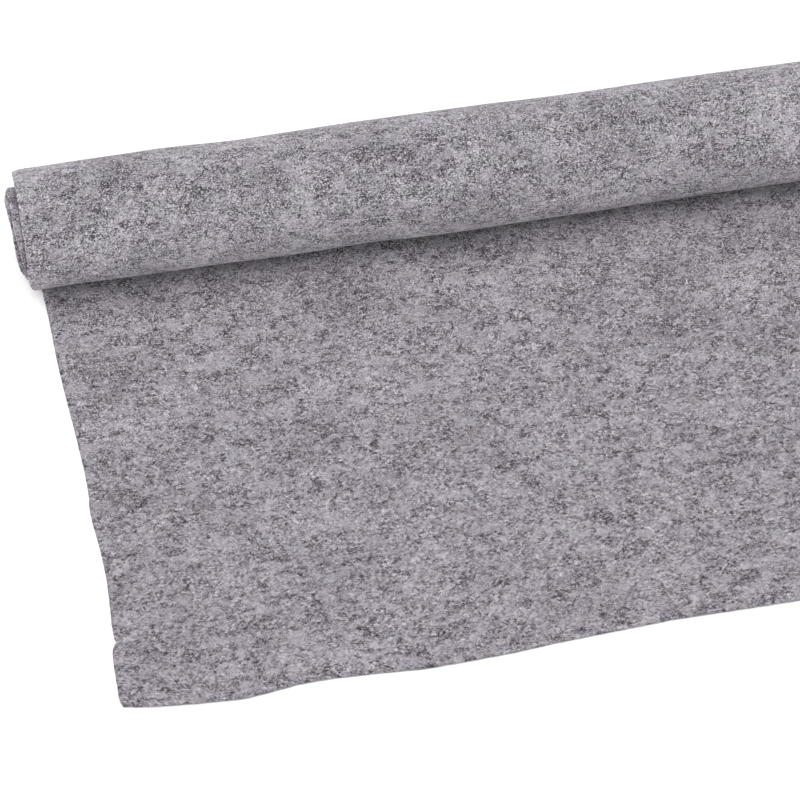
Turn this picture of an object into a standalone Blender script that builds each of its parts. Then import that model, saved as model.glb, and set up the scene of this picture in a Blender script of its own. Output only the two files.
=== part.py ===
"""A cut length of grey needle-punched felt, its far part wound into a loose roll.

The felt is one piece of cloth. Its near part lies flat on the ground and runs under the roll, where the cloth
curls up behind, over the top and down the front, and then winds on inside as a tighter roll. Each turn ends a
little further to the left than the one around it, because the cloth was rolled up slightly out of square.

Metres, +Z up. +X runs along the roll from left to right and +Y points from the loose end to the roll.
"""
import math
from typing import NamedTuple

import bpy
import numpy as np

# Driving dimensions
CLOTH_WIDTH = 0.750
CLOTH_LENGTH = 1.500
THICKNESS = 0.0027
ROLL_DIAMETER = 0.111
INNER_ROLL_DIAMETER = 0.0865
LOOSE_LENGTH = 0.477
SKEW = math.radians(1.2)

# How the turns lie: from one layer to the next around the roll, and where they rest on each other at its foot
LAYER_PITCH = 0.0032
RESTING_PITCH = 0.0033
INNER_ROLL_SHIFT = 0.0025
TURN_IN = (0.78, 1.25)
SETTLING = (0.75, 1.0)
TAPER_PER_METRE = 0.012

# The rim of the outer turn bends in a little at both ends of the roll
RIM_BEND = 0.0020
RIM_WIDTH = 0.010
RIM_TURNS = (0.12, 0.80)
RIM_FADE = 0.12

# Where the middle of the ground plan lies, seen from the point where the roll's left end meets the loose sheet
PLAN_CENTRE = (0.3723, -0.2100)

# The rows of points behind the near edge straighten over this length
NEAR_EDGE_FADE = 0.080

# Mesh density
STEPS_PER_TURN = 40
LOOSE_STEP = 0.030
COLUMN_STEP = 0.060
RIM_COLUMNS = (0.004, 0.010)

FELT_COLOUR = (0.296, 0.279, 0.309, 1.0)
FELT_ROUGHNESS = 0.95


class EdgePoint(NamedTuple):
    """A point of a cut edge: its place along that edge, and how far it lies inside the straight cut."""
    along: float
    inset: float


# The left edge, measured from the near edge: a snipped corner, a long hollow, and the wound part
LEFT_EDGE = (
    EdgePoint(along=0.000, inset=0.0124),
    EdgePoint(along=0.006, inset=0.0109),
    EdgePoint(along=0.017, inset=0.0112),
    EdgePoint(along=0.053, inset=0.0117),
    EdgePoint(along=0.066, inset=0.0128),
    EdgePoint(along=0.073, inset=0.0178),
    EdgePoint(along=0.080, inset=0.0158),
    EdgePoint(along=0.112, inset=0.0172),
    EdgePoint(along=0.136, inset=0.0183),
    EdgePoint(along=0.160, inset=0.0175),
    EdgePoint(along=0.173, inset=0.0168),
    EdgePoint(along=0.198, inset=0.0144),
    EdgePoint(along=0.223, inset=0.0157),
    EdgePoint(along=0.248, inset=0.0156),
    EdgePoint(along=0.286, inset=0.0136),
    EdgePoint(along=0.338, inset=0.0101),
    EdgePoint(along=0.365, inset=0.0087),
    EdgePoint(along=0.418, inset=0.0078),
    EdgePoint(along=0.477, inset=0.0048),
    EdgePoint(along=0.560, inset=0.0005),
    EdgePoint(along=0.600, inset=-0.0028),
    EdgePoint(along=0.630, inset=-0.0020),
    EdgePoint(along=0.640, inset=-0.0002),
    EdgePoint(along=0.664, inset=0.0003),
    EdgePoint(along=0.681, inset=0.0010),
    EdgePoint(along=0.707, inset=0.0020),
    EdgePoint(along=0.732, inset=0.0012),
    EdgePoint(along=0.741, inset=0.0020),
    EdgePoint(along=0.749, inset=0.0037),
    EdgePoint(along=0.757, inset=0.0051),
    EdgePoint(along=0.772, inset=0.0078),
    EdgePoint(along=0.820, inset=0.0040),
    EdgePoint(along=0.880, inset=-0.0010),
    EdgePoint(along=0.912, inset=-0.0022),
    EdgePoint(along=0.923, inset=-0.0036),
    EdgePoint(along=0.930, inset=-0.0026),
    EdgePoint(along=0.937, inset=-0.0013),
    EdgePoint(along=0.970, inset=-0.0005),
    EdgePoint(along=0.989, inset=0.0024),
    EdgePoint(along=1.002, inset=0.0037),
    EdgePoint(along=1.021, inset=0.0073),
    EdgePoint(along=1.040, inset=0.0065),
    EdgePoint(along=1.066, inset=0.0035),
    EdgePoint(along=1.100, inset=0.0010),
    EdgePoint(along=1.150, inset=0.0005),
    EdgePoint(along=1.172, inset=0.0011),
    EdgePoint(along=1.179, inset=-0.0003),
    EdgePoint(along=1.187, inset=-0.0005),
    EdgePoint(along=1.197, inset=0.0003),
    EdgePoint(along=1.202, inset=0.0007),
    EdgePoint(along=1.214, inset=0.0028),
    EdgePoint(along=1.237, inset=0.0039),
    EdgePoint(along=1.249, inset=0.0050),
    EdgePoint(along=1.261, inset=0.0070),
    EdgePoint(along=1.279, inset=0.0106),
    EdgePoint(along=1.300, inset=0.0106),
    EdgePoint(along=1.430, inset=0.0080),
    EdgePoint(along=1.471, inset=0.0096),
    EdgePoint(along=1.482, inset=0.0117),
    EdgePoint(along=1.500, inset=0.0142),
)

# The near edge, measured from the left edge
NEAR_EDGE = (
    EdgePoint(along=0.000, inset=0.0105),
    EdgePoint(along=0.016, inset=0.0074),
    EdgePoint(along=0.035, inset=0.0048),
    EdgePoint(along=0.067, inset=0.0016),
    EdgePoint(along=0.103, inset=-0.0010),
    EdgePoint(along=0.120, inset=0.0003),
    EdgePoint(along=0.153, inset=0.0041),
    EdgePoint(along=0.180, inset=0.0043),
    EdgePoint(along=0.222, inset=0.0018),
    EdgePoint(along=0.262, inset=-0.0015),
    EdgePoint(along=0.300, inset=-0.0012),
    EdgePoint(along=0.343, inset=-0.0002),
    EdgePoint(along=0.378, inset=0.0021),
    EdgePoint(along=0.431, inset=0.0039),
    EdgePoint(along=0.484, inset=0.0057),
    EdgePoint(along=0.554, inset=0.0043),
    EdgePoint(along=0.640, inset=0.0032),
    EdgePoint(along=0.735, inset=0.0022),
    EdgePoint(along=0.750, inset=0.0035),
)


def clear_scene():
    for thing in list(bpy.data.objects):
        bpy.data.objects.remove(thing, do_unlink=True)


def smooth_step(value, start, end):
    """0 before start, 1 after end, and a smooth rise between them."""
    share = min(max((value - start) / (end - start), 0.0), 1.0)
    return share * share * (3.0 - 2.0 * share)


def edge_inset(edge, along):
    return float(np.interp(along, [point.along for point in edge], [point.inset for point in edge]))


def wound_point(turn, drawn_in=0.0):
    """Y and Z of the middle of the cloth after so many turns, counted from where it leaves the ground."""
    inward = smooth_step(turn, *TURN_IN)
    outer_radius = (ROLL_DIAMETER - THICKNESS) / 2.0
    inner_radius = (INNER_ROLL_DIAMETER - THICKNESS) / 2.0
    inner_radius -= LAYER_PITCH * max(0.0, turn - TURN_IN[1])
    radius = outer_radius + (inner_radius - outer_radius) * inward
    foot = THICKNESS / 2.0 + RESTING_PITCH * max(turn, 1.0) * smooth_step(turn, *SETTLING)
    angle = 2.0 * math.pi * turn
    reach = radius - drawn_in
    return (
        INNER_ROLL_SHIFT * inward + reach * math.sin(angle),
        foot + radius - reach * math.cos(angle),
    )


def stations(end, step, marks):
    """Sorted distances from 0 to end, one at each mark and others about a step apart between them."""
    found = [mark for mark in marks if mark <= end]
    count = round(end / step)
    for index in range(count + 1):
        place = end * index / count
        if min(abs(place - mark) for mark in found) > step / 3.0:
            found.append(place)
    return sorted(found)


def loose_rows():
    """Distances from the near edge of the rows of points in the flat part."""
    return stations(LOOSE_LENGTH - LOOSE_STEP / 2.0, LOOSE_STEP, [point.along for point in LEFT_EDGE])


def wound_rows():
    """Pairs of distance from the near edge and turn, a row at each step, until the cloth's length is used up."""
    rows = []
    along = LOOSE_LENGTH
    turn = 0.0
    last = wound_point(turn)
    while along < CLOTH_LENGTH:
        rows.append((along, turn))
        turn += 1.0 / STEPS_PER_TURN
        here = wound_point(turn)
        along += math.dist(last, here)
        last = here
    return rows


def columns():
    """Distances from the left edge of the columns of points, closer together at the two rims."""
    marks = [point.along for point in NEAR_EDGE]
    marks += RIM_COLUMNS
    marks += [CLOTH_WIDTH - rim for rim in RIM_COLUMNS]
    return stations(CLOTH_WIDTH, COLUMN_STEP, marks)


def rim_bend(across, turn):
    """How far the outer turn is drawn in towards the roll's axis near the roll's two ends."""
    from_rim = min(across, CLOTH_WIDTH - across)
    share = max(0.0, 1.0 - from_rim / RIM_WIDTH)
    begins = smooth_step(turn, RIM_TURNS[0], RIM_TURNS[0] + RIM_FADE)
    ends = 1.0 - smooth_step(turn, RIM_TURNS[1] - RIM_FADE, RIM_TURNS[1])
    return RIM_BEND * share * share * begins * ends


def cloth_point(across, along, turn):
    """Where a point of the cloth lies, from its distances to the left and near edges."""
    drift = (LOOSE_LENGTH - along) * math.tan(SKEW)
    inset = edge_inset(LEFT_EDGE, along)
    x = drift + inset + across * (CLOTH_WIDTH - inset) / CLOTH_WIDTH
    if turn > 0.0:
        grow = 1.0 + TAPER_PER_METRE * across
        y, z = wound_point(turn, rim_bend(across, turn))
        return x, y * grow, THICKNESS / 2.0 + (z - THICKNESS / 2.0) * grow
    to_roll = (LOOSE_LENGTH - along) * (1.0 - across * math.tan(SKEW) / LOOSE_LENGTH)
    drawn_back = edge_inset(NEAR_EDGE, across) * (1.0 - smooth_step(along, 0.0, NEAR_EDGE_FADE))
    return x, drawn_back - to_roll, THICKNESS / 2.0


def felt_material():
    material = bpy.data.materials.new("grey_felt")
    material.use_nodes = True
    shader = material.node_tree.nodes["Principled BSDF"]
    shader.inputs["Base Color"].default_value = FELT_COLOUR
    shader.inputs["Roughness"].default_value = FELT_ROUGHNESS
    shader.inputs["Metallic"].default_value = 0.0
    return material


def make_felt():
    """The whole cloth: a grid laid along its middle surface and given its thickness by Solidify."""
    rows = [(along, 0.0) for along in loose_rows()] + wound_rows()
    across = columns()
    bpy.ops.mesh.primitive_grid_add(x_subdivisions=len(across) - 1, y_subdivisions=len(rows) - 1, size=1.0)
    felt = bpy.context.object
    felt.name = "felt_cloth"
    felt.data.name = "felt_cloth"
    for vertex in felt.data.vertices:
        column = round((vertex.co.x + 0.5) * (len(across) - 1))
        along, turn = rows[round((vertex.co.y + 0.5) * (len(rows) - 1))]
        vertex.co = cloth_point(across[column], along, turn)
    felt.data.shade_smooth()
    felt.data.materials.append(felt_material())
    thicken = felt.modifiers.new("Felt thickness", "SOLIDIFY")
    thicken.thickness = THICKNESS
    thicken.offset = 0.0
    thicken.use_even_offset = True
    felt.location = (-PLAN_CENTRE[0], -PLAN_CENTRE[1], 0.0)
    return felt


def main():
    clear_scene()
    collection = bpy.data.collections.new("felt_carpet_roll")
    bpy.context.scene.collection.children.link(collection)
    felt = make_felt()
    for owner in list(felt.users_collection):
        owner.objects.unlink(felt)
    collection.objects.link(felt)


main()
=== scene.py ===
"""The looks of a cut length of grey heather needle felt, whose far part is wound into a loose roll.

The cloth is one closed mesh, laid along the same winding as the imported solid, with soft lumps and
rounded cut edges. Its felt is procedural: layers of short fibres in all directions, charcoal flecks
that gather in clusters, and broad lighter and darker patches.
"""
import math
from typing import NamedTuple

import bpy
import numpy as np
from mathutils import Matrix, Vector


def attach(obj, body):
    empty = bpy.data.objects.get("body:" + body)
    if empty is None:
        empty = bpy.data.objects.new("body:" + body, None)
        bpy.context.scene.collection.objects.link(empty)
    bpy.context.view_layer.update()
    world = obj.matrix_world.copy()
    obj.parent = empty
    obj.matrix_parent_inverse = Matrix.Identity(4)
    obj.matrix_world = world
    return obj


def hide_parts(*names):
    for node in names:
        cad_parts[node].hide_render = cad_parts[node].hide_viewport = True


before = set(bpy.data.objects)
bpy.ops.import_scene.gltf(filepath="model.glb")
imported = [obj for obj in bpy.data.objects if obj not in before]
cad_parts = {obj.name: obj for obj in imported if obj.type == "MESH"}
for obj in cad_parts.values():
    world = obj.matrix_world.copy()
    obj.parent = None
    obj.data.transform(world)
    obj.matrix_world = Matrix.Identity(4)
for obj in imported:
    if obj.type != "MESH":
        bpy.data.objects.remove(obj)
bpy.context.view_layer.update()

# The cloth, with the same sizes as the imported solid
CLOTH_WIDTH = 0.750
CLOTH_LENGTH = 1.500
THICKNESS = 0.0027
ROLL_DIAMETER = 0.111
INNER_ROLL_DIAMETER = 0.0865
LOOSE_LENGTH = 0.477
SKEW = math.radians(1.2)

# How the turns lie: from one layer to the next around the roll, and where they rest on each other at its foot
LAYER_PITCH = 0.0032
RESTING_PITCH = 0.0033
INNER_ROLL_SHIFT = 0.0025
TURN_IN = (0.78, 1.25)
SETTLING = (0.75, 1.0)
TAPER_PER_METRE = 0.012

# The rim of the outer turn bends in a little at both ends of the roll
RIM_BEND = 0.0020
RIM_WIDTH = 0.010
RIM_TURNS = (0.12, 0.80)
RIM_FADE = 0.12

# Where the middle of the ground plan lies, seen from where the roll's left end meets the loose sheet
PLAN_CENTRE = (0.3723, -0.2100)

# The rows of points behind the near edge straighten over this length
NEAR_EDGE_FADE = 0.080

# Mesh density: the outer turn is finer than the inner ones, and points crowd together at the cut edges
LOOSE_STEP = 0.0050
COLUMN_STEP = 0.0060
OUTER_STEPS_PER_TURN = 72
INNER_STEPS_PER_TURN = 48
OUTER_TURNS = 1.25
MOST_TURNS = 5.0
EDGE_STEPS = (0.0, 0.00015, 0.00045, 0.0010, 0.0024)

# The cut edges: how far the felt is rounded off, and how thick it still is at the very edge
EDGE_ROUNDING = 0.0010
EDGE_THICKNESS_SHARE = 0.55
EDGE_BULGE = 0.00015
EDGE_SMOOTHING = 0.002
EDGE_WAVER = 0.00022

# How an edge's corners are eased: steps of EDGE_SMOOTHING to each side, and what share each place has
EDGE_TAPS = ((-2.0, 0.1), (-1.0, 0.2), (0.0, 0.4), (1.0, 0.2), (2.0, 0.1))

# The snipped place in the left edge: where it is, how deep and how wide to each side, and its rows of points
NOTCH_PLACE = 0.0735
NOTCH_DEPTH = 0.0015
NOTCH_REACH = 0.0032
NOTCH_ROWS = (-0.0032, -0.0016, 0.0, 0.0016, 0.0032)

# The attribute past_rim where no turn lies around the cloth
FAR_FROM_RIM = 1.0

# Where the underside takes its felt from, and how the two sides share the map named OFBake
UNDERSIDE_SHIFT = (-1.0, 0.4)
BAKE_SHARE = 0.98
BAKE_MARGIN = (0.01, 0.01)
UNDERSIDE_BAKE_SHIFT = (0.5, 0.0)

# Soft lumps of the loose sheet: how far they rise, and how far from the roll they fade out
SHEET_LUMP = 0.0009
LUMP_FADE = (0.025, 0.075)

# Where around a turn the swells behind the roll's top begin and are full, and so for those at its front
BEHIND_TURN = (0.10, 0.30)
FRONT_TURN = (0.50, 0.75)
FOOT_TURN = (0.90, 1.00)

# The camera: a long lens, turned a little to the left of the roll's square view
CAMERA_PLACE = (-0.3913, -1.8968, 2.9789)
CAMERA_TURN = math.radians(9.672)
CAMERA_ELEVATION = math.radians(57.0)
CAMERA_LENS = 180.0
CAMERA_SENSOR = 36.0

# The floor, which lies just under the cloth
FLOOR_SIZE = 14.0
FLOOR_HEIGHT = -0.0002
FLOOR_COLOUR = (0.93, 0.93, 0.93)
FLOOR_ROUGHNESS = 0.8
FLOOR_SPECULAR = 0.1

# What the lights look at, and the light that comes from all around
LIT_PLACE = (0.0, 0.0, 0.03)
WORLD_STRENGTH = 0.70


class EdgePoint(NamedTuple):
    """A point of a cut edge: its place along that edge, and how far it lies inside the straight cut."""
    along: float
    inset: float


# The left edge, measured from the near edge: a snipped corner, a long hollow, and the wound part
LEFT_EDGE = (
    EdgePoint(along=0.000, inset=0.0136),
    EdgePoint(along=0.003, inset=0.0119),
    EdgePoint(along=0.006, inset=0.0109),
    EdgePoint(along=0.017, inset=0.0112),
    EdgePoint(along=0.053, inset=0.0117),
    EdgePoint(along=0.066, inset=0.0128),
    EdgePoint(along=0.073, inset=0.0163),
    EdgePoint(along=0.088, inset=0.0157),
    EdgePoint(along=0.112, inset=0.0172),
    EdgePoint(along=0.136, inset=0.0183),
    EdgePoint(along=0.160, inset=0.0175),
    EdgePoint(along=0.173, inset=0.0168),
    EdgePoint(along=0.198, inset=0.0144),
    EdgePoint(along=0.210, inset=0.0142),
    EdgePoint(along=0.223, inset=0.0157),
    EdgePoint(along=0.248, inset=0.0156),
    EdgePoint(along=0.286, inset=0.0136),
    EdgePoint(along=0.338, inset=0.0101),
    EdgePoint(along=0.365, inset=0.0087),
    EdgePoint(along=0.418, inset=0.0078),
    EdgePoint(along=0.477, inset=0.0048),
    EdgePoint(along=0.560, inset=0.0005),
    EdgePoint(along=0.600, inset=-0.0028),
    EdgePoint(along=0.630, inset=-0.0020),
    EdgePoint(along=0.640, inset=-0.0002),
    EdgePoint(along=0.664, inset=0.0003),
    EdgePoint(along=0.681, inset=0.0010),
    EdgePoint(along=0.707, inset=0.0020),
    EdgePoint(along=0.732, inset=0.0012),
    EdgePoint(along=0.741, inset=0.0020),
    EdgePoint(along=0.749, inset=0.0037),
    EdgePoint(along=0.757, inset=0.0051),
    EdgePoint(along=0.772, inset=0.0078),
    EdgePoint(along=0.820, inset=0.0040),
    EdgePoint(along=0.880, inset=-0.0010),
    EdgePoint(along=0.912, inset=-0.0022),
    EdgePoint(along=0.923, inset=-0.0040),
    EdgePoint(along=0.930, inset=-0.0026),
    EdgePoint(along=0.937, inset=-0.0013),
    EdgePoint(along=0.970, inset=-0.0005),
    EdgePoint(along=0.989, inset=0.0024),
    EdgePoint(along=1.002, inset=0.0037),
    EdgePoint(along=1.021, inset=0.0073),
    EdgePoint(along=1.040, inset=0.0065),
    EdgePoint(along=1.066, inset=0.0035),
    EdgePoint(along=1.100, inset=0.0010),
    EdgePoint(along=1.150, inset=0.0005),
    EdgePoint(along=1.172, inset=0.0013),
    EdgePoint(along=1.179, inset=-0.0005),
    EdgePoint(along=1.187, inset=-0.0006),
    EdgePoint(along=1.197, inset=0.0003),
    EdgePoint(along=1.202, inset=0.0007),
    EdgePoint(along=1.214, inset=0.0028),
    EdgePoint(along=1.237, inset=0.0039),
    EdgePoint(along=1.249, inset=0.0050),
    EdgePoint(along=1.261, inset=0.0070),
    EdgePoint(along=1.279, inset=0.0106),
    EdgePoint(along=1.300, inset=0.0106),
    EdgePoint(along=1.430, inset=0.0080),
    EdgePoint(along=1.471, inset=0.0096),
    EdgePoint(along=1.482, inset=0.0117),
    EdgePoint(along=1.500, inset=0.0142),
)

# The near edge, measured from the left edge
NEAR_EDGE = (
    EdgePoint(along=0.000, inset=0.0105),
    EdgePoint(along=0.005, inset=0.0098),
    EdgePoint(along=0.009, inset=0.0088),
    EdgePoint(along=0.016, inset=0.0074),
    EdgePoint(along=0.035, inset=0.0048),
    EdgePoint(along=0.067, inset=0.0016),
    EdgePoint(along=0.103, inset=-0.0010),
    EdgePoint(along=0.120, inset=0.0003),
    EdgePoint(along=0.153, inset=0.0041),
    EdgePoint(along=0.180, inset=0.0043),
    EdgePoint(along=0.222, inset=0.0018),
    EdgePoint(along=0.262, inset=-0.0015),
    EdgePoint(along=0.300, inset=-0.0012),
    EdgePoint(along=0.343, inset=-0.0002),
    EdgePoint(along=0.378, inset=0.0021),
    EdgePoint(along=0.431, inset=0.0039),
    EdgePoint(along=0.484, inset=0.0057),
    EdgePoint(along=0.554, inset=0.0043),
    EdgePoint(along=0.640, inset=0.0032),
    EdgePoint(along=0.735, inset=0.0022),
    EdgePoint(along=0.750, inset=0.0035),
)


class Wave(NamedTuple):
    """One wave of a soft field: cycles per metre across and along the cloth, and its phase and share."""
    across: float
    along: float
    phase: float
    share: float


SHEET_WAVES = (
    Wave(across=2.1, along=1.3, phase=0.4, share=0.45),
    Wave(across=-3.4, along=4.6, phase=2.1, share=0.25),
    Wave(across=6.3, along=2.2, phase=4.0, share=0.18),
    Wave(across=-5.2, along=9.1, phase=1.2, share=0.12),
)


class Swell(NamedTuple):
    """How far the roll stands out of its round form, behind its top and at its front, at a place across."""
    across: float
    behind: float
    front: float


SWELLS = (
    Swell(across=0.000, behind=-0.0003, front=0.0004),
    Swell(across=0.022, behind=-0.0006, front=-0.0004),
    Swell(across=0.042, behind=-0.0002, front=-0.0009),
    Swell(across=0.069, behind=0.0001, front=-0.0003),
    Swell(across=0.100, behind=0.0003, front=-0.0001),
    Swell(across=0.130, behind=0.0008, front=-0.0003),
    Swell(across=0.156, behind=0.0002, front=-0.0005),
    Swell(across=0.187, behind=-0.0009, front=-0.0004),
    Swell(across=0.206, behind=-0.0012, front=0.0001),
    Swell(across=0.242, behind=-0.0005, front=0.0002),
    Swell(across=0.270, behind=0.0000, front=-0.0005),
    Swell(across=0.306, behind=0.0006, front=-0.0014),
    Swell(across=0.324, behind=0.0005, front=-0.0011),
    Swell(across=0.345, behind=0.0005, front=0.0001),
    Swell(across=0.397, behind=0.0004, front=0.0004),
    Swell(across=0.433, behind=0.0004, front=-0.0003),
    Swell(across=0.460, behind=-0.0004, front=-0.0006),
    Swell(across=0.510, behind=-0.0007, front=-0.0011),
    Swell(across=0.545, behind=-0.0005, front=-0.0017),
    Swell(across=0.580, behind=0.0000, front=-0.0023),
    Swell(across=0.640, behind=0.0002, front=-0.0028),
    Swell(across=0.750, behind=-0.0003, front=-0.0027),
)

WAVER_WAVES = (
    Wave(across=61.0, along=0.0, phase=0.3, share=0.45),
    Wave(across=113.0, along=0.0, phase=1.9, share=0.33),
    Wave(across=197.0, along=0.0, phase=4.4, share=0.22),
)


def smooth_step(value, start, end):
    """0 before start, 1 after end, and a smooth rise between them."""
    share = np.clip((value - start) / (end - start), 0.0, 1.0)
    return share * share * (3.0 - 2.0 * share)


def wave_field(waves, across, along):
    """A sum of waves between about -1 and 1."""
    total = 0.0
    for wave in waves:
        cycles = wave.across * across + wave.along * along
        total = total + wave.share * np.sin(2.0 * math.pi * cycles + wave.phase)
    return total


def edge_inset(edge, along):
    """The inset of a cut edge, its corners eased and its line wavering as scissors leave it."""
    places = [point.along for point in edge]
    insets = [point.inset for point in edge]
    eased = 0.0
    for offset, share in EDGE_TAPS:
        eased = eased + share * np.interp(along + offset * EDGE_SMOOTHING, places, insets)
    return eased + EDGE_WAVER * wave_field(WAVER_WAVES, along, 0.0)


def notch(along):
    """How much further in the left edge lies where it is snipped."""
    return NOTCH_DEPTH * np.maximum(0.0, 1.0 - np.abs(along - NOTCH_PLACE) / NOTCH_REACH)


def wound_point(turn, drawn_in=0.0):
    """Y and Z of the middle of the cloth after so many turns, counted from where it leaves the ground."""
    inward = smooth_step(turn, *TURN_IN)
    outer_radius = (ROLL_DIAMETER - THICKNESS) / 2.0
    inner_radius = (INNER_ROLL_DIAMETER - THICKNESS) / 2.0
    inner_radius = inner_radius - LAYER_PITCH * np.maximum(0.0, turn - TURN_IN[1])
    radius = outer_radius + (inner_radius - outer_radius) * inward
    foot = THICKNESS / 2.0 + RESTING_PITCH * np.maximum(turn, 1.0) * smooth_step(turn, *SETTLING)
    angle = 2.0 * math.pi * turn
    reach = radius - drawn_in
    return (
        INNER_ROLL_SHIFT * inward + reach * np.sin(angle),
        foot + radius - reach * np.cos(angle),
    )


def crowded(end, step):
    """Distances from 0 to end about a step apart, with extra ones close to both ends."""
    inner = np.linspace(0.0, end, round(end / step) + 1)
    near = np.array(EDGE_STEPS)
    inner = inner[(inner > near[-1]) & (inner < end - near[-1])]
    return np.concatenate([near, inner, end - near[::-1]])


def cloth_rows():
    """Distance from the near edge and turn of each row of points, from the near edge to the far one."""
    loose = crowded(LOOSE_LENGTH, LOOSE_STEP)
    loose = loose[loose < LOOSE_LENGTH - LOOSE_STEP / 2.0]
    loose = loose[np.abs(loose - NOTCH_PLACE) > LOOSE_STEP]
    loose = np.sort(np.concatenate([loose, NOTCH_PLACE + np.array(NOTCH_ROWS)]))
    outer = np.arange(0.0, OUTER_TURNS, 1.0 / OUTER_STEPS_PER_TURN)
    inner = np.arange(OUTER_TURNS, MOST_TURNS, 1.0 / INNER_STEPS_PER_TURN)
    turn = np.concatenate([outer, inner])
    y, z = wound_point(turn)
    passed = np.concatenate([[0.0], np.cumsum(np.hypot(np.diff(y), np.diff(z)))])
    wound = LOOSE_LENGTH + passed
    last = CLOTH_LENGTH - np.array(EDGE_STEPS)[::-1]
    keep = wound < last[0] - EDGE_STEPS[-1]
    along = np.concatenate([loose, wound[keep], last])
    turns = np.concatenate([np.zeros(len(loose)), turn[keep], np.interp(last, wound, turn)])
    return along, turns


def rim_bend(across, turn):
    """How far the outer turn is drawn in towards the roll's axis near the roll's two ends."""
    from_rim = np.minimum(across, CLOTH_WIDTH - across)
    share = np.maximum(0.0, 1.0 - from_rim / RIM_WIDTH)
    begins = smooth_step(turn, RIM_TURNS[0], RIM_TURNS[0] + RIM_FADE)
    ends = 1.0 - smooth_step(turn, RIM_TURNS[1] - RIM_FADE, RIM_TURNS[1])
    return RIM_BEND * share * share * begins * ends


def middle_surface(across, along, turn):
    """The middle of the cloth, as a grid of points: a row for each place along, a column for each across."""
    inset = edge_inset(LEFT_EDGE, along) + notch(along)
    drift = (LOOSE_LENGTH - along) * math.tan(SKEW)
    x = drift + inset + across * (CLOTH_WIDTH - inset) / CLOTH_WIDTH
    grow = 1.0 + TAPER_PER_METRE * across
    y_wound, z_wound = wound_point(turn, rim_bend(across, turn))
    to_roll = (LOOSE_LENGTH - along) * (1.0 - across * math.tan(SKEW) / LOOSE_LENGTH)
    drawn_back = edge_inset(NEAR_EDGE, across) * (1.0 - smooth_step(along, 0.0, NEAR_EDGE_FADE))
    is_wound = turn > 0.0
    y = np.where(is_wound, y_wound * grow, drawn_back - to_roll)
    z = np.where(is_wound, THICKNESS / 2.0 + (z_wound - THICKNESS / 2.0) * grow, THICKNESS / 2.0)
    return np.stack([x - PLAN_CENTRE[0], y - PLAN_CENTRE[1], z], axis=-1)


def swell(across, turn):
    """How far the roll stands out of its round form. All turns swell together, so that their gaps stay."""
    places = [point.across for point in SWELLS]
    behind = np.interp(across, places, [point.behind for point in SWELLS])
    front = np.interp(across, places, [point.front for point in SWELLS])
    round_turn = turn % 1.0
    to_front = smooth_step(round_turn, *FRONT_TURN)
    risen = smooth_step(round_turn, *BEHIND_TURN)
    at_foot = smooth_step(round_turn, *FOOT_TURN)
    return behind * risen * (1.0 - to_front) + front * to_front * (1.0 - at_foot)


def lumps(across, along, turn):
    """How far the cloth is moved along its normal: upwards where it lies, outwards where it is wound."""
    rise = 0.5 + 0.5 * wave_field(SHEET_WAVES, across, along)
    sheet = SHEET_LUMP * rise * smooth_step(LOOSE_LENGTH - along, *LUMP_FADE)
    return np.where(turn > 0.0, -swell(across, turn), sheet)


def edge_share(from_edge):
    """The cloth's thickness near a cut edge, as a share of the full one."""
    inside = np.clip(from_edge / EDGE_ROUNDING, 0.0, 1.0)
    return EDGE_THICKNESS_SHARE + (1.0 - EDGE_THICKNESS_SHARE) * np.sqrt(1.0 - (1.0 - inside) ** 2)


def unit(vectors):
    return vectors / np.linalg.norm(vectors, axis=-1, keepdims=True)


class Cloth(NamedTuple):
    """The closed cloth as arrays.

    It has points and four-cornered faces. felt_map and bake_map hold a place for each face corner.
    from_edge and past_rim hold a distance for each point: to the nearest cut edge, and past the left rim
    of the turn around it.
    """
    points: np.ndarray
    faces: np.ndarray
    felt_map: np.ndarray
    bake_map: np.ndarray
    from_edge: np.ndarray
    past_rim: np.ndarray


def past_outer_rim(along, turn, x):
    """How far each point lies inside the left rim of the turn around it. Below zero it lies bare."""
    wound = turn > 0.0
    around = np.interp(turn - 1.0, turn[wound], along[wound])
    rim = (LOOSE_LENGTH - around) * math.tan(SKEW) + edge_inset(LEFT_EDGE, around) - PLAN_CENTRE[0]
    return np.where(turn[:, None] >= 1.0, x - rim[:, None], FAR_FROM_RIM)


def border_loop(rows, columns):
    """Row and column of each point of the grid's border, counterclockwise from the near left corner."""
    row = np.concatenate([
        np.zeros(columns - 1, int), np.arange(rows - 1),
        np.full(columns - 1, rows - 1), np.arange(rows - 1, 0, -1),
    ])
    column = np.concatenate([
        np.arange(columns - 1), np.full(rows - 1, columns - 1),
        np.arange(columns - 1, 0, -1), np.zeros(rows - 1, int),
    ])
    return row, column


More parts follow.
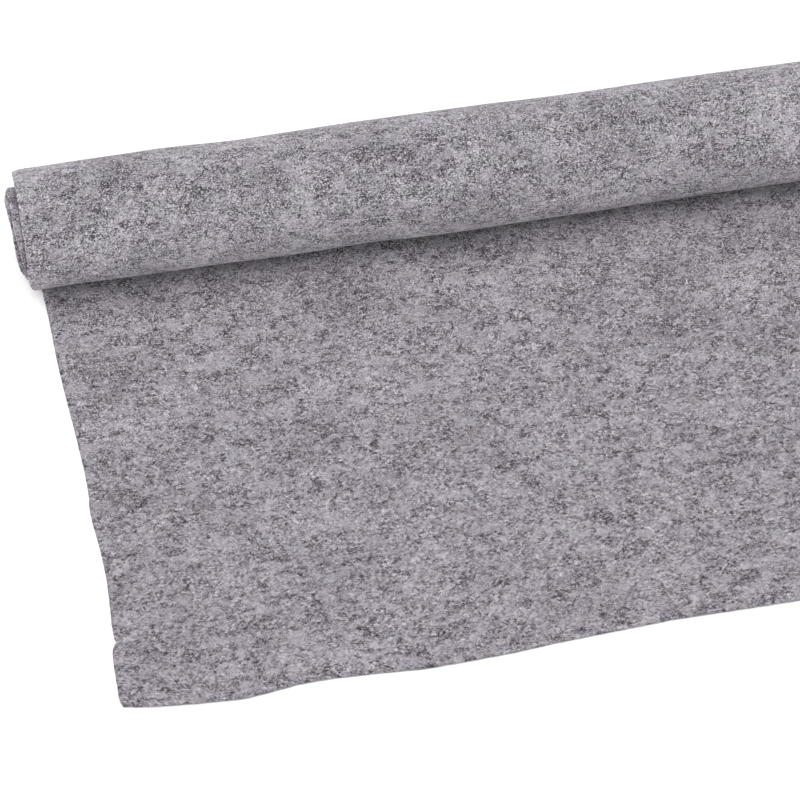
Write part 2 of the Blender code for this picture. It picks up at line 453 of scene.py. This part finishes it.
def build_cloth():
    along, turn = cloth_rows()
    across = crowded(CLOTH_WIDTH, COLUMN_STEP)
    rows, columns = len(along), len(across)
    across_grid = np.broadcast_to(across[None, :], (rows, columns))
    along_grid = np.broadcast_to(along[:, None], (rows, columns))
    turn_grid = np.broadcast_to(turn[:, None], (rows, columns))

    middle = middle_surface(across_grid, along_grid, turn_grid)
    to_right = unit(np.gradient(middle, axis=1))
    to_far = unit(np.gradient(middle, axis=0))
    upward = unit(np.cross(to_right, to_far))
    middle = middle + upward * lumps(across_grid, along_grid, turn_grid)[..., None]

    from_sides = np.minimum(across_grid, CLOTH_WIDTH - across_grid)
    from_ends = np.minimum(along_grid, CLOTH_LENGTH - along_grid)
    half = THICKNESS / 2.0 * edge_share(from_sides) * edge_share(from_ends)
    top = middle + upward * half[..., None]
    bottom = middle - upward * half[..., None]

    row, column = border_loop(rows, columns)
    outward = np.zeros((len(row), 2))
    outward[:, 0] = (column == columns - 1).astype(float) - (column == 0)
    outward[:, 1] = (row == rows - 1).astype(float) - (row == 0)
    bulge = outward[:, :1] * to_right[row, column] + outward[:, 1:] * to_far[row, column]
    rim = middle[row, column] + EDGE_BULGE * bulge

    points = np.concatenate([top.reshape(-1, 3), bottom.reshape(-1, 3), rim])
    faces, felt_map, bake_map = cloth_faces(across, along, row, column, outward)
    from_edge = np.minimum(from_sides, from_ends).ravel()
    from_edge = np.concatenate([from_edge, from_edge, np.zeros(len(row))])
    past_rim = past_outer_rim(along, turn, middle[..., 0])
    past_rim = np.concatenate([past_rim.ravel(), past_rim.ravel(), past_rim[row, column]])
    return Cloth(points, faces, felt_map, bake_map, from_edge, past_rim)


def cloth_faces(across, along, row, column, outward):
    """The faces of the top, the underside and the cut edges, and where each corner lies on the felt."""
    rows, columns = len(along), len(across)
    place = np.arange(rows * columns).reshape(rows, columns)
    quads = np.stack([place[:-1, :-1], place[:-1, 1:], place[1:, 1:], place[1:, :-1]], axis=-1)
    quads = quads.reshape(-1, 4)
    under = rows * columns
    rim = 2 * rows * columns

    grid = np.stack(np.meshgrid(across, along), axis=-1).reshape(-1, 2)
    top_felt = grid
    under_felt = grid * (-1.0, 1.0) + UNDERSIDE_SHIFT
    top_bake = grid / CLOTH_LENGTH * BAKE_SHARE + BAKE_MARGIN
    under_bake = top_bake + UNDERSIDE_BAKE_SHIFT

    here = place[row, column]
    after = np.roll(here, -1)
    loop = np.arange(len(here))
    next_loop = np.roll(loop, -1)
    upper = np.stack([rim + loop, rim + next_loop, after, here], axis=-1)
    lower = np.stack([under + here, under + after, rim + next_loop, rim + loop], axis=-1)
    faces = np.concatenate([quads, under + quads[:, ::-1], upper, lower])

    def corners(felt, sideways, quad_points, reach):
        """Map places of the cut edge's corners: the rim's lie outside the felt's own edge."""
        out = outward * (sideways, 1.0) * reach
        inner = felt[here], felt[after]
        outer = felt[here] + out, felt[after] + np.roll(out, -1, axis=0)
        return [outer[0], outer[1], inner[1], inner[0]] if quad_points == "upper" else [
            inner[0], inner[1], outer[1], outer[0]]

    def joined(felt_top, felt_under, mirror, reach):
        upper_corners = np.stack(corners(felt_top, 1.0, "upper", reach), axis=1)
        lower_corners = np.stack(corners(felt_under, mirror, "lower", reach), axis=1)
        parts = (felt_top[quads], felt_under[quads[:, ::-1]], upper_corners, lower_corners)
        return np.concatenate([part.reshape(-1, 2) for part in parts])

    half = THICKNESS / 2.0
    felt_map = joined(top_felt, under_felt, -1.0, half)
    bake_map = joined(top_bake, under_bake, 1.0, half / CLOTH_LENGTH)
    return faces, felt_map, bake_map


def make_mesh(name, cloth):
    mesh = bpy.data.meshes.new(name)
    mesh.from_pydata(cloth.points.tolist(), [], cloth.faces.tolist())
    for map_name, places in (("cloth", cloth.felt_map), ("OFBake", cloth.bake_map)):
        layer = mesh.uv_layers.new(name=map_name)
        layer.data.foreach_set("uv", places.astype(np.float32).ravel())
    for attribute_name, values in (("from_edge", cloth.from_edge), ("past_rim", cloth.past_rim)):
        attribute = mesh.attributes.new(attribute_name, "FLOAT", "POINT")
        attribute.data.foreach_set("value", values.astype(np.float32))
    mesh.shade_smooth()
    mesh.validate()
    piece = bpy.data.objects.new(name, mesh)
    bpy.context.scene.collection.objects.link(piece)
    return piece


class Graph:
    """Adds nodes to a shader's tree and links them."""

    def __init__(self, tree):
        self.tree = tree

    def add(self, kind, sockets=None, **settings):
        node = self.tree.nodes.new(kind)
        for name, value in settings.items():
            setattr(node, name, value)
        for name, value in (sockets or {}).items():
            if isinstance(value, bpy.types.NodeSocket):
                self.tree.links.new(value, node.inputs[name])
            else:
                node.inputs[name].default_value = value
        return node

    def math(self, operation, first, second=0.0):
        return self.add("ShaderNodeMath", {0: first, 1: second}, operation=operation).outputs[0]

    def scaled(self, vector, scale, shift=(0.0, 0.0, 0.0)):
        """The vector times scale, plus shift."""
        node = self.add(
            "ShaderNodeVectorMath",
            {0: vector, 1: scale, 2: shift},
            operation="MULTIPLY_ADD",
        )
        return node.outputs[0]

    def noise(self, vector, detail, roughness, distortion):
        node = self.add(
            "ShaderNodeTexNoise",
            {
                "Vector": vector, "Scale": 1.0, "Detail": detail,
                "Roughness": roughness, "Distortion": distortion,
            },
            noise_dimensions="2D",
        )
        return node.outputs["Fac"]

    def stretched(self, value, low, high):
        """The value mapped from low..high to 0..1, kept inside."""
        node = self.add("ShaderNodeMapRange", {"Value": value, "From Min": low, "From Max": high})
        return node.outputs["Result"]

    def mottle(self, vector, layer):
        """Cloudy flecks of one size, longer across the cloth than along it."""
        shift = (layer.shift, SHIFT_RATIO * layer.shift, 0.0)
        placed = self.scaled(vector, (1.0 / layer.long, 1.0 / layer.short, 1.0), shift)
        return self.noise(placed, layer.detail, layer.roughness, layer.curl)

    def strands(self, vector, layer):
        """Curled single fibres: thin lines where a cloudy field crosses its middle, in short pieces."""
        field = self.mottle(vector, layer)
        off_line = self.math("ABSOLUTE", self.math("SUBTRACT", field, NOISE_MIDDLE))
        line = self.stretched(off_line, layer.reach, 0.0)
        broken = self.scaled(vector, (1.0 / layer.gap, 1.0 / layer.gap, 1.0), (layer.shift, 0.0, 0.0))
        there = self.stretched(self.noise(broken, 1.0, 0.5, 0.0), *STRAND_BREAKS)
        return self.math("MULTIPLY", line, there)

    def plus(self, total, value, gain, middle):
        """The running tone plus gain times how far the value lies from its middle."""
        part = self.add("ShaderNodeMath", {0: value, 1: gain, 2: -gain * middle}, operation="MULTIPLY_ADD")
        return self.math("ADD", total, part.outputs[0])


# How much further along than across a layer of felt is shifted, so that no two layers meet
SHIFT_RATIO = 1.7

# The noise values between which strands, clusters and tints rise, and the usual tone of strands and noise
STRAND_BREAKS = (0.42, 0.58)
CLUSTER_RISE = (0.32, 0.68)
TINT_RISE = (0.3, 0.7)
STRAND_MIDDLE = 0.2
NOISE_MIDDLE = 0.5

# The mix in which the two tints cancel each other, and the scale of the felt's layers
EVEN_MIX = 0.5
MM_PER_METRE = 1000.0

# How much contrast the flecks have where no cluster is, and in a cluster's middle
CLUSTER_CONTRAST = (1.5, 0.5)


class Mottle(NamedTuple):
    """A layer of cloudy flecks, their size across and along the cloth in millimetres."""
    long: float
    short: float
    detail: float
    roughness: float
    curl: float
    gain: float
    shift: float


class Strands(NamedTuple):
    """A layer of curled fibres: their loops' size in millimetres, a line's width, and the gap's size."""
    long: float
    short: float
    detail: float
    roughness: float
    curl: float
    gain: float
    shift: float
    reach: float
    gap: float


STRAND_LAYERS = (
    Strands(
        long=7.0, short=4.6, detail=1.0, roughness=0.6, curl=0.7,
        gain=-0.40, shift=3.0, reach=0.065, gap=4.5,
    ),
    Strands(
        long=5.7, short=3.8, detail=1.0, roughness=0.6, curl=0.7,
        gain=-0.40, shift=37.0, reach=0.075, gap=4.0,
    ),
    Strands(
        long=6.2, short=4.2, detail=1.0, roughness=0.6, curl=0.7,
        gain=0.24, shift=71.0, reach=0.075, gap=4.5,
    ),
)
FLECK_LAYERS = (
    Mottle(long=2.8, short=2.0, detail=1.0, roughness=0.6, curl=0.6, gain=1.10, shift=13.0),
    Mottle(long=7.4, short=5.2, detail=3.0, roughness=0.65, curl=0.8, gain=1.25, shift=29.0),
)
CRISP_FLECKS = Mottle(long=1.5, short=1.2, detail=1.0, roughness=0.5, curl=0.3, gain=1.9, shift=113.0)
CLUSTERS = Mottle(long=20.0, short=12.5, detail=3.0, roughness=0.6, curl=0.8, gain=0.42, shift=53.0)
PATCHES = Mottle(long=75.0, short=45.0, detail=2.0, roughness=0.5, curl=0.3, gain=0.28, shift=97.0)
TINTS = Mottle(long=30.0, short=20.0, detail=1.0, roughness=0.6, curl=0.4, gain=1.0, shift=151.0)

# The felt looks crisper from the near edge towards the roll, between these distances from the near edge
FRESH_FROM = (0.08, 0.45)

# Over this width the cut edges carry painted light: painted shade makes them darker on the loose sheet, and a
# painted highlight makes them paler on the roll, by these shares
PAINTED_EDGE_LIGHT_WIDTH = 0.0015
LOOSE_EDGE_PAINTED_SHADE = 0.82
WOUND_EDGE_PAINTED_HIGHLIGHT = 1.25
WOUND_FROM = (0.50, 0.58)

# A thin dark line of painted shade lies beside each rim of the roll's left end, where the turn inside it
# begins; it stands for the shade in the gap between the turns
RIM_GAP_SHADE_OUT = 0.0007
RIM_GAP_SHADE_WIDTH = 0.0014
RIM_GAP_SHADE_SHARE = 0.58

# The tints are faint on the loose sheet, down to this share, and full on the roll
TINT_SHARE = 0.12
TINTS_FROM = (0.42, 0.52)

# The felt's tone, from charcoal flecks to the palest fibres, as places on the ramp and colours
TONES = (
    (0.00, (0.043, 0.037, 0.046)),
    (0.28, (0.118, 0.106, 0.123)),
    (0.50, (0.220, 0.204, 0.227)),
    (0.70, (0.339, 0.318, 0.348)),
    (1.00, (0.547, 0.518, 0.559)),
)
TONE_SPREAD = 0.72
LAVENDER = (1.020, 0.988, 1.022, 1.0)
GREEN_GREY = (0.980, 1.011, 0.984, 1.0)


# The felt's relief and its finish
BUMP_STRENGTH = 0.5
BUMP_HEIGHT = 0.0005
FELT_FINISH = {
    "Roughness": 0.95,
    "Specular IOR Level": 0.15,
    "Diffuse Roughness": 0.6,
    "Sheen Weight": 0.15,
    "Sheen Roughness": 0.5,
}


def felt_material():
    """Heather felt: pale fibres with charcoal ones among them, in millimetres on the cloth's own map."""
    material = bpy.data.materials.new("heather_felt")
    material.use_nodes = True
    tree = material.node_tree
    shader = tree.nodes["Principled BSDF"]
    graph = Graph(tree)

    felt_map = graph.add("ShaderNodeUVMap", uv_map="cloth")
    place = graph.scaled(felt_map.outputs["UV"], (MM_PER_METRE, MM_PER_METRE, 0.0))

    cluster = graph.stretched(graph.mottle(place, CLUSTERS), *CLUSTER_RISE)
    contrast = graph.add(
        "ShaderNodeMapRange",
        {
            "Value": cluster, "From Min": 0.0, "From Max": 1.0,
            "To Min": CLUSTER_CONTRAST[0], "To Max": CLUSTER_CONTRAST[1],
        },
    )
    relief = 0.0
    for layer in STRAND_LAYERS:
        relief = graph.plus(relief, graph.strands(place, layer), layer.gain, STRAND_MIDDLE)
    for layer in FLECK_LAYERS:
        relief = graph.plus(relief, graph.mottle(place, layer), layer.gain, NOISE_MIDDLE)
    along = graph.add("ShaderNodeSeparateXYZ", {"Vector": felt_map.outputs["UV"]}).outputs["Y"]
    fresh = graph.stretched(along, *FRESH_FROM)
    crisp = graph.plus(0.0, graph.mottle(place, CRISP_FLECKS), CRISP_FLECKS.gain, NOISE_MIDDLE)
    relief = graph.math("ADD", relief, graph.math("MULTIPLY", crisp, fresh))
    tone = graph.math("MULTIPLY", relief, contrast.outputs["Result"])
    tone = graph.plus(tone, cluster, CLUSTERS.gain, NOISE_MIDDLE)
    patch = graph.plus(0.0, graph.mottle(place, PATCHES), PATCHES.gain, NOISE_MIDDLE)
    tone = graph.math("ADD", tone, graph.math("MULTIPLY", patch, graph.math("ADD", fresh, 1.0)))
    tone = graph.stretched(tone, -TONE_SPREAD, TONE_SPREAD)

    ramp = graph.add("ShaderNodeValToRGB", {"Fac": tone})
    elements = ramp.color_ramp.elements
    while len(elements) < len(TONES):
        elements.new(0.5)
    for element, (position, colour) in zip(elements, TONES):
        element.position = position
        element.color = (*colour, 1.0)
    tint_reach = graph.add(
        "ShaderNodeMapRange",
        {"Value": along, "From Min": TINTS_FROM[0], "From Max": TINTS_FROM[1], "To Min": TINT_SHARE},
    )
    tint_noise = graph.stretched(graph.mottle(place, TINTS), *TINT_RISE)
    tint_part = graph.plus(0.0, tint_noise, TINTS.gain, NOISE_MIDDLE)
    tint_share = graph.math("ADD", graph.math("MULTIPLY", tint_part, tint_reach.outputs["Result"]), EVEN_MIX)
    tint = graph.add("ShaderNodeMix", {"Factor": tint_share, 6: LAVENDER, 7: GREEN_GREY}, data_type="RGBA")
    tinted = graph.add(
        "ShaderNodeMix",
        {"Factor": 1.0, 6: ramp.outputs["Color"], 7: tint.outputs[2]},
        data_type="RGBA",
        blend_type="MULTIPLY",
    )
    # Painted shade along the loose sheet's cut edges, and a painted highlight along the roll's rims
    from_edge = graph.add("ShaderNodeAttribute", attribute_name="from_edge")
    painted_edge_share = graph.add(
        "ShaderNodeMapRange",
        {
            "Value": along, "From Min": WOUND_FROM[0], "From Max": WOUND_FROM[1],
            "To Min": LOOSE_EDGE_PAINTED_SHADE, "To Max": WOUND_EDGE_PAINTED_HIGHLIGHT,
        },
    )
    painted_edge_light = graph.add(
        "ShaderNodeMapRange",
        {
            "Value": from_edge.outputs["Fac"], "From Min": 0.0, "From Max": PAINTED_EDGE_LIGHT_WIDTH,
            "To Min": painted_edge_share.outputs["Result"],
        },
    )
    # Painted shade: a thin dark line just outside each turn's left rim, standing for the shade in the gap
    # between turns
    past_rim = graph.add("ShaderNodeAttribute", attribute_name="past_rim")
    off_line = graph.math("ABSOLUTE", graph.math("ADD", past_rim.outputs["Fac"], RIM_GAP_SHADE_OUT))
    painted_gap_shade = graph.add(
        "ShaderNodeMapRange",
        {"Value": off_line, "From Min": 0.0, "From Max": RIM_GAP_SHADE_WIDTH, "To Min": RIM_GAP_SHADE_SHARE},
    )
    share = graph.math("MULTIPLY", painted_edge_light.outputs["Result"], painted_gap_shade.outputs["Result"])
    shaded = graph.add("ShaderNodeVectorMath", {0: tinted.outputs[2], "Scale": share}, operation="SCALE")
    tree.links.new(shaded.outputs[0], shader.inputs["Base Color"])

    bump = graph.add("ShaderNodeBump", {"Height": relief, "Strength": BUMP_STRENGTH, "Distance": BUMP_HEIGHT})
    tree.links.new(bump.outputs["Normal"], shader.inputs["Normal"])
    for socket, value in FELT_FINISH.items():
        shader.inputs[socket].default_value = value
    return material


def floor_material():
    material = bpy.data.materials.new("pale_floor")
    material.use_nodes = True
    shader = material.node_tree.nodes["Principled BSDF"]
    shader.inputs["Base Color"].default_value = (*FLOOR_COLOUR, 1.0)
    shader.inputs["Roughness"].default_value = FLOOR_ROUGHNESS
    shader.inputs["Specular IOR Level"].default_value = FLOOR_SPECULAR
    return material


def make_felt():
    felt = make_mesh("heather_felt_roll", build_cloth())
    felt.data.materials.append(felt_material())
    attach(felt, "root")
    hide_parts("felt_cloth")


def make_floor():
    bpy.ops.mesh.primitive_plane_add(size=FLOOR_SIZE)
    floor = bpy.context.object
    floor.name = "floor"
    floor.location = (0.0, 0.0, FLOOR_HEIGHT)
    floor.data.materials.append(floor_material())


def make_camera():
    data = bpy.data.cameras.new("camera")
    data.lens = CAMERA_LENS
    data.sensor_width = CAMERA_SENSOR
    camera = bpy.data.objects.new("camera", data)
    bpy.context.scene.collection.objects.link(camera)
    turn, rise = CAMERA_TURN, CAMERA_ELEVATION
    back = Vector((-math.sin(turn) * math.cos(rise), -math.cos(turn) * math.cos(rise), math.sin(rise)))
    right = Vector((math.cos(turn), -math.sin(turn), 0.0))
    up = back.cross(right)
    axes = Matrix((right, up, back)).transposed()
    camera.matrix_world = Matrix.Translation(CAMERA_PLACE) @ axes.to_4x4()
    bpy.context.scene.camera = camera


def make_light(name, azimuth, elevation, distance, width, height, power):
    """A soft rectangular light that looks at the middle of the part. Azimuth 0 stands in front of it."""
    data = bpy.data.lights.new(name, "AREA")
    data.shape = "RECTANGLE"
    data.size = width
    data.size_y = height
    data.energy = power
    light = bpy.data.objects.new(name, data)
    bpy.context.scene.collection.objects.link(light)
    turn, rise = math.radians(azimuth), math.radians(elevation)
    way = Vector((math.sin(turn) * math.cos(rise), -math.cos(turn) * math.cos(rise), math.sin(rise)))
    light.location = Vector(LIT_PLACE) + distance * way
    light.rotation_euler = way.to_track_quat("Z", "Y").to_euler()
    light.visible_camera = False


def make_lights():
    make_light(
        "softbox_above", azimuth=-60.0, elevation=73.0, distance=7.0,
        width=6.6, height=4.55, power=413.0,
    )
    make_light(
        "softbox_front", azimuth=-10.0, elevation=8.0, distance=3.2,
        width=3.0, height=0.9, power=26.0,
    )
    world = bpy.data.worlds.new("studio")
    bpy.context.scene.world = world
    world.use_nodes = True
    background = world.node_tree.nodes["Background"]
    background.inputs["Color"].default_value = (1.0, 1.0, 1.0, 1.0)
    background.inputs["Strength"].default_value = WORLD_STRENGTH


def main():
    make_felt()
    make_floor()
    make_camera()
    make_lights()
    bpy.context.scene.view_settings.view_transform = "Standard"


main()
